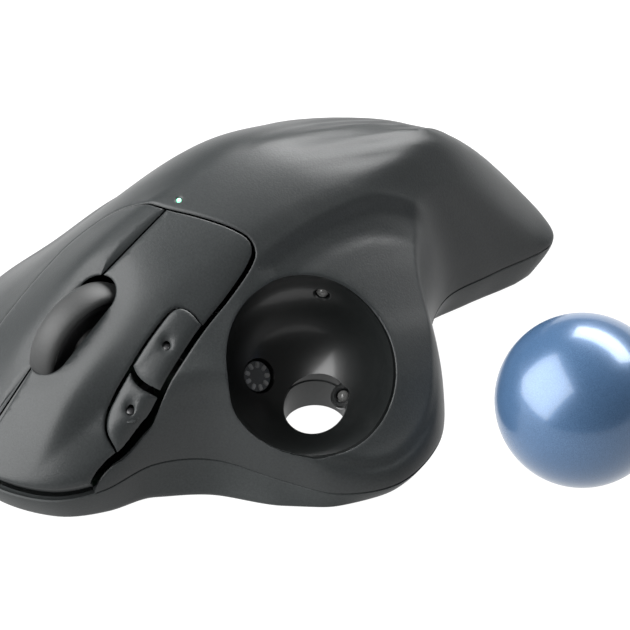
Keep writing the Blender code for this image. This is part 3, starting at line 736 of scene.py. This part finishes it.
def make_materials():
    made = {}
    made["graphite"] = grained("graphite", (0.014, 0.0155, 0.016), (0.021, 0.0235, 0.024), (0.38, 0.45), shine=0.26)
    made["base_plastic"] = grained("base_plastic", (0.019, 0.0212, 0.0215), (0.027, 0.03, 0.0305), (0.42, 0.5), shine=0.2)
    made["wheel_rubber"] = grained("wheel_rubber", (0.009, 0.0095, 0.0095), (0.014, 0.015, 0.015), (0.55, 0.65), 1800.0, 0.2)
    made["black_plastic"] = grained("black_plastic", (0.008, 0.008, 0.009), (0.014, 0.014, 0.015), (0.4, 0.5), 1500.0, 0.1)
    made["socket_gloss"] = grained("socket_gloss", (0.006, 0.007, 0.007), (0.009, 0.01, 0.01), (0.3, 0.36), 900.0, 0.03, 0.25)
    made["sleeve"] = grained("sleeve", (0.02, 0.022, 0.022), (0.028, 0.03, 0.03), (0.35, 0.45), 1200.0, 0.05)
    made["foot_pad"] = grained("foot_pad", (0.2, 0.21, 0.21), (0.26, 0.27, 0.27), (0.35, 0.45), 1600.0, 0.08)
    made["white_plastic"] = grained("white_plastic", (0.6, 0.6, 0.57), (0.7, 0.7, 0.67), (0.4, 0.5), 1600.0, 0.05)
    made["ceramic_bead"] = grained("ceramic_bead", (0.1, 0.1, 0.098), (0.13, 0.13, 0.126), (0.12, 0.18), 500.0, 0.02)
    made["board_green"] = grained("board_green", (0.003, 0.012, 0.007), (0.005, 0.018, 0.01), (0.35, 0.45), 400.0, 0.1)
    made["ribbon"] = grained("ribbon", (0.4, 0.22, 0.05), (0.5, 0.29, 0.07), (0.3, 0.4), 500.0, 0.05)
    made["cell_jacket"] = grained("cell_jacket", (0.02, 0.02, 0.024), (0.03, 0.03, 0.035), (0.2, 0.3), 300.0, 0.03, 0.5)
    made["steel"] = grained("steel", (0.42, 0.42, 0.42), (0.55, 0.55, 0.55), (0.25, 0.35), 800.0, 0.05, 0.0, 1.0)
    m, nodes, links, shader = nodes_of("clear_lens")
    smudge = noise(nodes, links, 300.0)
    links.new(span(nodes, links, smudge.outputs["Fac"], 0.04, 0.12), shader.inputs["Roughness"])
    shader.inputs["Base Color"].default_value = (0.1, 0.11, 0.12, 1)
    shader.inputs["Coat Weight"].default_value = 1.0
    made["clear_lens"] = m
    m, nodes, links, shader = nodes_of("status_lamp")
    glow = noise(nodes, links, 900.0)
    colour = ramp(nodes, links, glow.outputs["Fac"], ((0.3, (0.2, 0.9, 0.5)), (0.7, (0.45, 1.0, 0.7))))
    links.new(colour, shader.inputs["Base Color"])
    links.new(colour, shader.inputs["Emission Color"])
    shader.inputs["Emission Strength"].default_value = 1.4
    made["status_lamp"] = m
    m, nodes, links, shader = nodes_of("ball_blue")
    flake = noise(nodes, links, 5200.0, 2.0, 0.7)
    cloud = noise(nodes, links, 90.0, 2.0)
    links.new(ramp(nodes, links, flake.outputs["Fac"], ((0.3, (0.03, 0.065, 0.13)), (0.72, (0.06, 0.12, 0.22)))),
              shader.inputs["Base Color"])
    links.new(span(nodes, links, cloud.outputs["Fac"], 0.27, 0.32), shader.inputs["Roughness"])
    bump(nodes, links, flake.outputs["Fac"], shader, 0.12, 0.00004)
    shader.inputs["Metallic"].default_value = 0.3
    shader.inputs["Coat Weight"].default_value = 0.35
    shader.inputs["Coat Roughness"].default_value = 0.1
    made["ball_blue"] = m
    return made


mat = make_materials()

# ---- solids of revolution, rods, boxes ----
def facing(direction):
    return Vector((0, 0, 1)).rotation_difference(Vector(direction)).to_matrix().to_4x4()


def turned(profile, centre, axis, count=96, closed=True):
    """Profile of (radius, height) pairs turned round axis through centre, in the row frame."""
    bm = bmesh.new()
    rows = []
    for k in range(count):
        a = 2 * math.pi * k / count
        rows.append([bm.verts.new((r * math.cos(a), r * math.sin(a), h)) for r, h in profile])
    for k in range(count):
        here, there = rows[k], rows[(k + 1) % count]
        for i in range(len(profile) if closed else len(profile) - 1):
            j = (i + 1) % len(profile)
            bm.faces.new((here[i], here[j], there[j], there[i]))
    bmesh.ops.remove_doubles(bm, verts=bm.verts, dist=1e-4)
    move = Matrix.Scale(MM, 4) @ Matrix.Translation(Vector(centre) + SHIFT) @ facing(axis)
    bmesh.ops.transform(bm, matrix=move, verts=bm.verts)
    return to_mesh(bm, "turned")


def rod(r1, r2, start, end, sides=64):
    start, end = Vector(start), Vector(end)
    bm = bmesh.new()
    bmesh.ops.create_cone(bm, cap_ends=True, segments=sides, radius1=r1, radius2=r2, depth=(end - start).length)
    move = Matrix.Scale(MM, 4) @ Matrix.Translation((start + end) / 2 + SHIFT) @ facing(end - start)
    bmesh.ops.transform(bm, matrix=move, verts=bm.verts)
    return to_mesh(bm, "rod")


def sphere(radius, centre, u=64, v=40, axis=(0, 0, 1)):
    bm = bmesh.new()
    bmesh.ops.create_uvsphere(bm, u_segments=u, v_segments=v, radius=radius)
    move = Matrix.Scale(MM, 4) @ Matrix.Translation(Vector(centre) + SHIFT) @ facing(axis)
    bmesh.ops.transform(bm, matrix=move, verts=bm.verts)
    return to_mesh(bm, "sphere")


# ---- shells and keys ----
EDGE = key_edge()
EDGE_IN = key_edge(GAP)
AREA = closed_over(EDGE)
AREA_IN = closed_over(EDGE_IN)
NOTCH = soft_outline(SIDE_KEYS)
SLOT = slot_loop()
MOUTH = mouth_loop(LIP_R)
LAMP_SPOT = (7.3, 11.6)
LAMP_HOLE = circle(LAMP_SPOT, 0.52, 28)


def keep_top(p):
    return ~inside(p, AREA) & ~inside(p, MOUTH[:, :2]) & ~inside(p, LAMP_HOLE)


def keep_left(p):
    return inside(p, AREA_IN) & (seam_side(p) < -GAP / 2) & ~inside(p, SLOT) & ~inside(p, NOTCH)


def keep_right(p):
    return inside(p, AREA_IN) & (seam_side(p) > GAP / 2) & ~inside(p, SLOT)


def slot_dish(x, y, gap):
    """The keys dip a little round the wheel."""
    along = np.array((math.sin(-WHEEL_YAW), math.cos(WHEEL_YAW)))
    dx, dy = x - SLOT_C.x, y - SLOT_C.y
    lengthwise = dx * along[0] + dy * along[1]
    crosswise = dx * along[1] - dy * along[0]
    out = np.hypot(crosswise, np.clip(np.abs(lengthwise) - SLOT_HALF, 0, None)) - SLOT_R
    return -0.75 * np.exp(-(np.clip(out, 0, None) / 2.6)**2)


def thumb_bevel(x, y, gap):
    """Narrow bevelled strip along the left key's thumb edge."""
    strip = np.clip((x + 9.3) / -2.4, 0, 1) * np.clip((30 - y) / 4, 0, 1)
    return -0.45 * strip


def left_shape(x, y, gap):
    return slot_dish(x, y, gap) + thumb_bevel(x, y, gap)


def ball_way():
    """Room for the ball on its way through the cover."""
    radius = LIP_R - 0.12
    return rod(radius, radius, SOCKET_C - MOUTH_AXIS * 2, SOCKET_C + MOUTH_AXIS * 30, 160)


LIP = (1.1, 1.7)
edge_curves = [(EDGE_IN, False), (SLOT, True)]
plate("top_cover", [(EDGE, False), (MOUTH[:, :2], True), (LAMP_HOLE, True)], keep_top, mat["graphite"], "housing",
      ["top_shell"], rim=True, step=0.7, bore=ball_way)
plate("left_key", edge_curves + [(seam_line(-1), False), (NOTCH, True)], keep_left, mat["graphite"], "left_key",
      ["left_button"], lift=KEY_LIFT, lip=LIP, shape=left_shape)
plate("right_key", edge_curves + [(seam_line(1), False)], keep_right, mat["graphite"], "right_key",
      ["right_button"], lift=KEY_LIFT, lip=LIP, shape=slot_dish)


# ---- side keys ----
DOTS = {"back_button": (-8.3, 33.6), "forward_button": (-8.2, 44.3)}


def side_outline(side):
    """Plan of the notch that both small keys share, moved in by the gap."""
    ring = np.asarray(NOTCH)
    tangent = np.roll(ring, -1, 0) - np.roll(ring, 1, 0)
    tangent /= np.hypot(*tangent.T)[:, None]
    inward = np.stack([-tangent[:, 1], tangent[:, 0]], -1)
    return ring + inward * GAP


def side_key(name, body, side, proud):
    outline = side_outline(side)
    limit = SIDE_SPLIT + side * 0.42
    dot = circle(DOTS[name], 0.72, 32)

    def bow(p):
        """The line between the two keys bows forward."""
        return limit - 0.09 * (p[:, 0] + 7.5)**2 + 0.5

    def keep(p):
        beyond = (p[:, 1] - bow(p)) * side > 0
        return inside(p, outline) & inside(p, AREA_IN) & beyond & ~inside(p, dot)

    xs = np.linspace(-16, -2, 40)
    line = np.stack([xs, limit - 0.09 * (xs + 7.5)**2 + 0.5], -1)

    def pillow(x, y, gap):
        across = (x + 8.6) / 3.4
        crown = 0.55 * (1 - np.clip(across, -1, 1)**2)
        return proud + crown - 0.5 * np.clip(1 - gap / 1.6, 0, 1)**2

    plate(name.replace("button", "key"), [(outline, True), (EDGE_IN, False), (line, False), (dot, True)], keep,
          mat["graphite"], body, [name], lift=KEY_LIFT, shape=pillow, step=0.45, radius=0.6)
    bm = bmesh.new()
    x, y = DOTS[name]
    z = float(skin_z(np.array([x]), np.array([y]), KEY_LIFT)[0]) + proud - 0.8
    bmesh.ops.create_uvsphere(bm, u_segments=24, v_segments=12, radius=0.9 * MM)
    bmesh.ops.scale(bm, vec=(1, 1, 0.45), verts=bm.verts)
    bmesh.ops.translate(bm, vec=row([(x, y, z)])[0], verts=bm.verts)
    finish_mesh(name + "_mark", to_mesh(bm, name + "_mark"), mat["black_plastic"], body)


side_key("back_button", "back_key", -1, 0.55)
side_key("forward_button", "forward_key", 1, 0.15)


def at_cup(way, distance):
    return SOCKET_C + Vector(way).normalized() * distance


# ---- ball ----
finish_mesh("ball", sphere(BALL_R, BALL_REST, 160, 96), mat["ball_blue"], "ball", ["trackball"], 180)


def loft(rings):
    """Closed solid through rings of points, from a first to a last single point, in the row frame."""
    bm = bmesh.new()
    rows = [[bm.verts.new(p) for p in row(ring)] for ring in rings]
    for low, high in zip(rows, rows[1:]):
        count = max(len(low), len(high))
        for i in range(count):
            j = (i + 1) % count
            if len(low) == 1:
                bm.faces.new((low[0], high[i], high[j]))
            elif len(high) == 1:
                bm.faces.new((low[i], high[0], low[j]))
            else:
                bm.faces.new((low[i], high[i], high[j], low[j]))
    return to_mesh(bm, "loft")


# ---- cup ----
NECK = 14.0


def cup_mesh(count=160):
    """Cup round the ball: a half sphere that runs on as a short round neck to the shell."""
    u, v = axis_frame(MOUTH_AXIS)
    axis, u, v = np.array(MOUTH_AXIS), np.array(u), np.array(v)
    a = np.linspace(0, 2 * math.pi, count, endpoint=False)
    centre = np.array(SOCKET_C)

    def wall(radius):
        spoke = np.cos(a)[:, None] * u + np.sin(a)[:, None] * v
        rows = []
        for t in np.linspace(0.03, math.pi / 2, 40):
            rows.append(centre + radius * (math.sin(t) * spoke - math.cos(t) * axis))
        start = centre + radius * spoke
        for f in (0.25, 0.5, 0.75, 1.0):
            rows.append(start + f * NECK * axis)
        return rows

    inner, outer = wall(SOCKET_R), wall(SOCKET_R + SOCKET_WALL)
    rings = [[centre - SOCKET_R * axis], *inner, *outer[::-1], [centre - (SOCKET_R + SOCKET_WALL) * axis]]
    return loft(rings)


def above_skin(drop, count=240):
    """Everything higher than drop under the skin."""
    angle = np.linspace(-math.pi, math.pi, count, endpoint=False)
    radius = round_plan(angle, RADII)
    rings = []
    for share in (*np.linspace(0.04, 0.92, 40), 0.95, 0.97, 0.985, 0.995, 1.0):
        x, y = CENTRE[0] + np.cos(angle) * radius * share, CENTRE[1] + np.sin(angle) * radius * share
        rings.append(np.stack([x, y, skin_z(x, y) - drop], -1))
    for out, z in ((12, 0), (12, 90)):
        x, y = rings[44][:, 0] + np.cos(angle) * out, rings[44][:, 1] + np.sin(angle) * out
        rings.append(np.stack([x, y, rings[44][:, 2] if z == 0 else np.full(count, z)], -1))
    middle = float(skin_z(CENTRE[0:1], CENTRE[1:2])[0]) - drop
    return loft([[(*CENTRE, middle)], *rings, [(*CENTRE, 90)]])


def make_cup():
    cutters = [above_skin(SKIN + 0.15), rod(HOLE_R, HOLE_R, (*HOLE_C, -2), (*HOLE_C, 14), 96)]
    for way in BEADS.values():
        cutters.append(rod(1.5, 1.9, at_cup(way, 21), at_cup(way, 16.5), 40))
    cutters.append(rod(3.0, 3.6, at_cup(LENS_WAY, 21), at_cup(LENS_WAY, 16.4), 56))
    cup = cut_mesh(cup_mesh(), cutters)
    finish_mesh("cup", cup, mat["socket_gloss"], "housing", ["ball_socket"], 30)
    for name, way in BEADS.items():
        centre = at_cup(way, BALL_R + BEAD_GAP + BEAD_R)
        finish_mesh(name.replace("bearing", "bead"), sphere(BEAD_R, centre, 40, 24), mat["ceramic_bead"], "housing",
                    [name], 180)
        collar = [(1.45, 0), (1.45, 1.1), (1.7, 1.3), (2.3, 1.3), (2.6, 1.0), (2.6, 0)]
        base = at_cup(way, SOCKET_R + 1.25)
        finish_mesh(name.replace("bearing", "collar"), turned(collar, base, -Vector(way), 48), mat["socket_gloss"],
                    "housing")
    sleeve = [(HOLE_R - 0.25, BASE_Z + 0.1), (HOLE_R - 0.25, 7.4), (HOLE_R + 0.35, 7.4), (HOLE_R + 0.35, BASE_Z + 0.1)]
    tube = cut_mesh(turned(sleeve, (*HOLE_C, 0), (0, 0, 1), 96), [sphere(SOCKET_R + 0.05, SOCKET_C, 96, 60)])
    finish_mesh("hole_sleeve", tube, mat["sleeve"], "housing", (), 30)
    toothed_ring("sensor_ring", LENS_WAY)


def toothed_ring(name, way):
    """Seat of the sensor window: a ring of small blocks round a lens, seen through the cup."""
    bm = bmesh.new()
    turn = facing(-Vector(way))
    for k in range(9):
        a = 2 * math.pi * k / 9
        spot = Matrix.Rotation(a, 4, "Z") @ Matrix.Translation((2.25, 0, 0.55))
        block = bmesh.ops.create_cube(bm, size=1.0)["verts"]
        bmesh.ops.scale(bm, vec=(1.2, 0.85, 1.0), verts=block)
        bmesh.ops.transform(bm, matrix=spot, verts=block)
    bmesh.ops.bevel(bm, geom=bm.edges[:], offset=0.16, segments=2, affect="EDGES")
    move = Matrix.Scale(MM, 4) @ Matrix.Translation(at_cup(way, SOCKET_R + 1.3) + SHIFT) @ turn
    bmesh.ops.transform(bm, matrix=move, verts=bm.verts)
    finish_mesh(name, to_mesh(bm, name), mat["steel"], "housing")


make_cup()


# ---- wheel ----
def make_wheel():
    axis = Vector((math.cos(WHEEL_YAW), math.sin(WHEEL_YAW), 0))
    half = WHEEL_W / 2
    crown = []
    for k in range(25):
        a = math.pi * k / 24
        crown.append((10.75 + (WHEEL_R - 10.75) * math.sin(a)**0.8, half * math.cos(a)))
    tyre = [(10.3, half - 0.35), (10.45, half - 0.05), *crown, (10.45, 0.05 - half), (10.3, 0.35 - half)]
    finish_mesh("tyre", turned(tyre, WHEEL_C, axis, 180), mat["wheel_rubber"], "scroll_wheel",
                ["wheel_tyre"], 50)
    hub = [(1.3, 2.0), (1.9, 2.6), (4.2, 2.6), (4.6, 1.9), (8.4, 1.9), (8.8, 2.6), (9.7, 2.6), (9.98, 2.3)]
    hub = hub + [(r, -h) for r, h in hub[::-1]]
    finish_mesh("hub", turned(hub, WHEEL_C, axis, 120), mat["black_plastic"], "scroll_wheel",
                ["wheel_hub"], 35)


make_wheel()


# ---- base ----
def base_profile():
    """(share of the height, share of the inset) pairs of the base's side, from the floor upwards."""
    return [(f, (1 - f)**1.4) for f in np.linspace(0, 1, 15)]


def make_base(count=360):
    angle = np.linspace(-math.pi, math.pi, count, endpoint=False)
    radius = round_plan(angle, RADII)
    top = round_plan(angle, PARTING) - 0.26
    tuck = hermite(np.degrees(angle), TUCK_AT, TUCK_IS)
    rings = []
    for f, inset in base_profile():
        z = BASE_Z + (top - BASE_Z) * f
        r = radius - tuck * inset - 0.5 * np.clip(1 - f / 0.12, 0, 1)**2
        rings.append(np.stack([CENTRE[0] + np.cos(angle) * r, CENTRE[1] + np.sin(angle) * r, z], -1))
    r = radius - 0.35
    rings[-1] = np.stack([CENTRE[0] + np.cos(angle) * (radius - 0.02), CENTRE[1] + np.sin(angle) * (radius - 0.02),
                          top - 0.22], -1)
    rings.append(np.stack([CENTRE[0] + np.cos(angle) * r, CENTRE[1] + np.sin(angle) * r, top], -1))
    floor = rings[0][:, :2]
    cell_low, cell_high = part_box("battery_door")
    door = [(v.x / MM - SHIFT.x, v.y / MM - SHIFT.y) for v in (cell_low, cell_high)]
    x0, y0, x1, y1 = door[0][0] - 0.3, door[0][1] - 0.3, door[1][0] + 0.3, door[1][1] + 0.3
    holes = [circle(HOLE_C, HOLE_R + 0.35, 96), np.array(((x0, y0), (x1, y0), (x1, y1), (x0, y1)))]
    holes.append(np.array(((20.8, 29.7), (25.2, 29.7), (25.2, 38.3), (20.8, 38.3))))
    holes.append(circle((4.0, 34.0), 2.8, 32))
    holes += [circle(spot, 2.5, 28) for spot in ((37, 28), (-12, -45), (33, -27))]
    chains = [(floor, True)] + [(h, True) for h in holes]
    points, faces = triangulate(chains, [])
    middle = points[faces].mean(1)
    kept = inside(middle, floor)
    for h in holes:
        kept &= ~inside(middle, h)
    faces = faces[kept]
    verts = [(*p, BASE_Z) for p in points]
    quads = [tuple(f[::-1]) for f in faces]
    start = len(verts)
    for ring in rings:
        verts += [tuple(p) for p in ring]
    for k in range(len(rings) - 1):
        for i in range(count):
            j = (i + 1) % count
            a, b = start + k * count, start + (k + 1) * count
            quads.append((a + i, a + j, b + j, b + i))
    mesh = soup(row(verts), quads, "base")
    bm = bmesh.new()
    bm.from_mesh(mesh)
    bmesh.ops.remove_doubles(bm, verts=bm.verts, dist=0.00001)
    loose = [v for v in bm.verts if not v.link_faces]
    bmesh.ops.delete(bm, geom=loose, context="VERTS")
    mesh = applied(to_mesh(bm, "base", mend=False), thicken(SKIN))
    finish_mesh("base", mesh, mat["base_plastic"], "housing", ["bottom_shell"], 32)


make_base()


# ---- lamp ----
def make_lamp():
    z = float(skin_z(np.array([LAMP_SPOT[0]]), np.array([LAMP_SPOT[1]]))[0])
    lens = [(0.0, 0.0), (0.2, -0.01), (0.35, -0.05), (0.44, -0.14), (0.44, -1.3), (0.0, -1.3)]
    mesh = turned(lens, (*LAMP_SPOT, z), (0, 0, 1), 32, closed=False)
    finish_mesh("status_light", mesh, mat["status_lamp"], "housing", ["status_lens"], 60)


make_lamp()


# ---- CAD nodes that keep their shape ----
def dress_nodes():
    slots = {s["node"]: s["material_slot"] for s in frame["record"]["subparts"]}
    for name, obj in frame["nodes"].items():
        obj.data.materials.clear()
        obj.data.materials.append(mat[slots[name]])


dress_nodes()


# ---- floor, lights, camera ----
def make_floor():
    bpy.ops.mesh.primitive_plane_add(size=12, location=(0, 0, 0))
    floor = bpy.context.object
    floor.name = "floor"
    m, nodes, links, shader = nodes_of("floor")
    cloud = noise(nodes, links, 3.0)
    links.new(ramp(nodes, links, cloud.outputs["Fac"], ((0.3, (0.08, 0.08, 0.08)), (0.7, (0.09, 0.09, 0.09)))),
              shader.inputs["Base Color"])
    shader.inputs["Roughness"].default_value = 0.9
    shader.inputs["Specular IOR Level"].default_value = 0.1
    shader.inputs["Emission Color"].default_value = (1, 1, 1, 1)
    shader.inputs["Emission Strength"].default_value = 1.0
    floor.data.materials.append(m)


def softbox(name, way, distance, size, power, aim=(0, 0, 0.02), colour=(1, 1, 1)):
    light = bpy.data.lights.new(name, "AREA")
    light.shape = "RECTANGLE"
    light.size, light.size_y = size
    light.energy = power
    light.color = colour
    obj = bpy.data.objects.new(name, light)
    place = Vector(aim) + Vector(way).normalized() * distance
    obj.location = place
    obj.rotation_euler = (place - Vector(aim)).to_track_quat("Z", "Y").to_euler()
    bpy.context.scene.collection.objects.link(obj)
    return obj


AZIMUTH = math.radians(40.0)
ELEVATION = math.radians(43.0)
RIGHT = Vector((-math.cos(AZIMUTH), -math.sin(AZIMUTH), 0))
UP = Vector((math.sin(AZIMUTH) * math.sin(ELEVATION), -math.cos(AZIMUTH) * math.sin(ELEVATION), math.cos(ELEVATION)))
TOWARDS = Vector((-math.sin(AZIMUTH) * math.cos(ELEVATION), math.cos(AZIMUTH) * math.cos(ELEVATION), math.sin(ELEVATION)))


def make_camera():
    data = bpy.data.cameras.new("camera")
    data.sensor_width = 36
    distance = 1.5
    shown = 630 / 5.165 * MM     # width of the view at the mouse
    data.lens = 36 * distance / shown
    data.clip_end = 50
    cam = bpy.data.objects.new("camera", data)
    target = (Vector((-27, 11.5, 22)) + SHIFT) * MM + UP * 9.68 * MM
    cam.location = target + TOWARDS * distance
    turn = Matrix((RIGHT, UP, TOWARDS)).transposed()
    cam.rotation_euler = turn.to_euler()
    bpy.context.scene.collection.objects.link(cam)
    bpy.context.scene.camera = cam


def make_lights():
    world = bpy.data.worlds.new("world")
    world.use_nodes = True
    world.node_tree.nodes["Background"].inputs["Color"].default_value = (1, 1, 1, 1)
    world.node_tree.nodes["Background"].inputs["Strength"].default_value = 0.12
    bpy.context.scene.world = world
    softbox("key_box", (0.45, 0.66, 0.6), 0.9, (1.2, 1.1), 38.0)
    softbox("rear_box", (0.1, -0.75, 0.62), 0.9, (1.0, 0.4), 21.0)


make_floor()
make_camera()
make_lights()
bpy.context.scene.view_settings.view_transform = "Standard"
